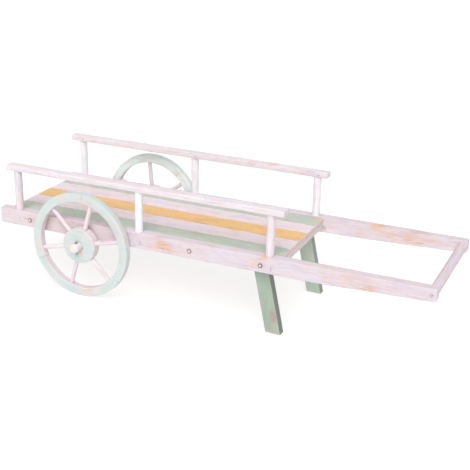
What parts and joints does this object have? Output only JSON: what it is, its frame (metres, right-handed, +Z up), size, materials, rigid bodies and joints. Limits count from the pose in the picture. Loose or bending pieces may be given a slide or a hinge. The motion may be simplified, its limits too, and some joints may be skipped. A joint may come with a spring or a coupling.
{
  "type": "garden cart",
  "caption": "Low wooden hand cart with long side beams, a slatted deck, post-and-rail sides, spoked wheels, raked legs and a round handle bar.",
  "frame": {"origin": "on the ground, at the centre of the bounding box seen from above", "axes": "+X along the cart from the tail to the handle bar, +Y to the left of a person pulling it, +Z up; the beams rise 1.85 degrees towards the handle"},
  "size_m": [1.2624, 0.488, 0.3571],
  "materials": {
    "paint_white": "whitewashed, worn matt paint on pine",
    "paint_sage": "worn matt sage green paint on pine",
    "paint_apricot": "worn matt apricot yellow paint on pine",
    "paint_mint": "worn matt pale mint paint on pine",
    "leg_sage": "worn matt sage green paint on pine, darker",
    "bare_wood": "thinly washed bare pine",
    "steel": "dull zinc plated"
  },
  "bodies": {
    "chassis": {"side_beam_left": "paint_white", "side_beam_right": "paint_white", "handle_bar": "paint_white", "deck_bearer_rear": "paint_white", "deck_bearer_middle": "paint_white", "deck_bearer_front": "paint_white", "deck_slat_1": "paint_sage", "deck_slat_2": "paint_white", "deck_slat_3": "paint_apricot", "deck_slat_4": "paint_white", "deck_slat_5": "paint_sage", "post_left_rear": "paint_white", "post_left_middle": "paint_white", "post_left_front": "paint_white", "top_rail_left": "paint_white", "leg_left": "leg_sage", "post_right_rear": "paint_white", "post_right_middle": "paint_white", "post_right_front": "paint_white", "top_rail_right": "paint_white", "leg_right": "leg_sage", "axle": "bare_wood", "axle_washer_left": "steel", "wheel_pin_left": "steel", "bearer_screw_rear_left": "steel", "bearer_screw_middle_left": "steel", "bearer_screw_front_left": "steel", "handle_screw_left": "steel", "leg_bolt_left": "steel", "leg_nut_left": "steel", "axle_screw_left": "steel", "axle_washer_right": "steel", "wheel_pin_right": "steel", "bearer_screw_rear_right": "steel", "bearer_screw_middle_right": "steel", "bearer_screw_front_right": "steel", "handle_screw_right": "steel", "leg_bolt_right": "steel", "leg_nut_right": "steel", "axle_screw_right": "steel"},
    "wheel_left": {"wheel_left_rim_segment_1": "paint_mint", "wheel_left_rim_segment_2": "paint_mint", "wheel_left_rim_segment_3": "paint_mint", "wheel_left_hub": "paint_mint", "wheel_left_spoke_1": "paint_white", "wheel_left_spoke_2": "paint_white", "wheel_left_spoke_3": "paint_white", "wheel_left_spoke_4": "paint_white", "wheel_left_spoke_5": "paint_white", "wheel_left_spoke_6": "paint_white"},
    "wheel_right": {"wheel_right_rim_segment_1": "paint_mint", "wheel_right_rim_segment_2": "paint_mint", "wheel_right_rim_segment_3": "paint_mint", "wheel_right_hub": "paint_mint", "wheel_right_spoke_1": "paint_white", "wheel_right_spoke_2": "paint_white", "wheel_right_spoke_3": "paint_white", "wheel_right_spoke_4": "paint_white", "wheel_right_spoke_5": "paint_white", "wheel_right_spoke_6": "paint_white"}
  },
  "joints": [
    {"name": "wheel_left_spin", "type": "hinge", "parent": "chassis", "child": "wheel_left", "pos_m": [-0.34898, 0.206, 0.15], "axis": [0, 1, 0], "continuous": true},
    {"name": "wheel_right_spin", "type": "hinge", "parent": "chassis", "child": "wheel_right", "pos_m": [-0.34898, -0.206, 0.15], "axis": [0, 1, 0], "continuous": true}
  ]
}
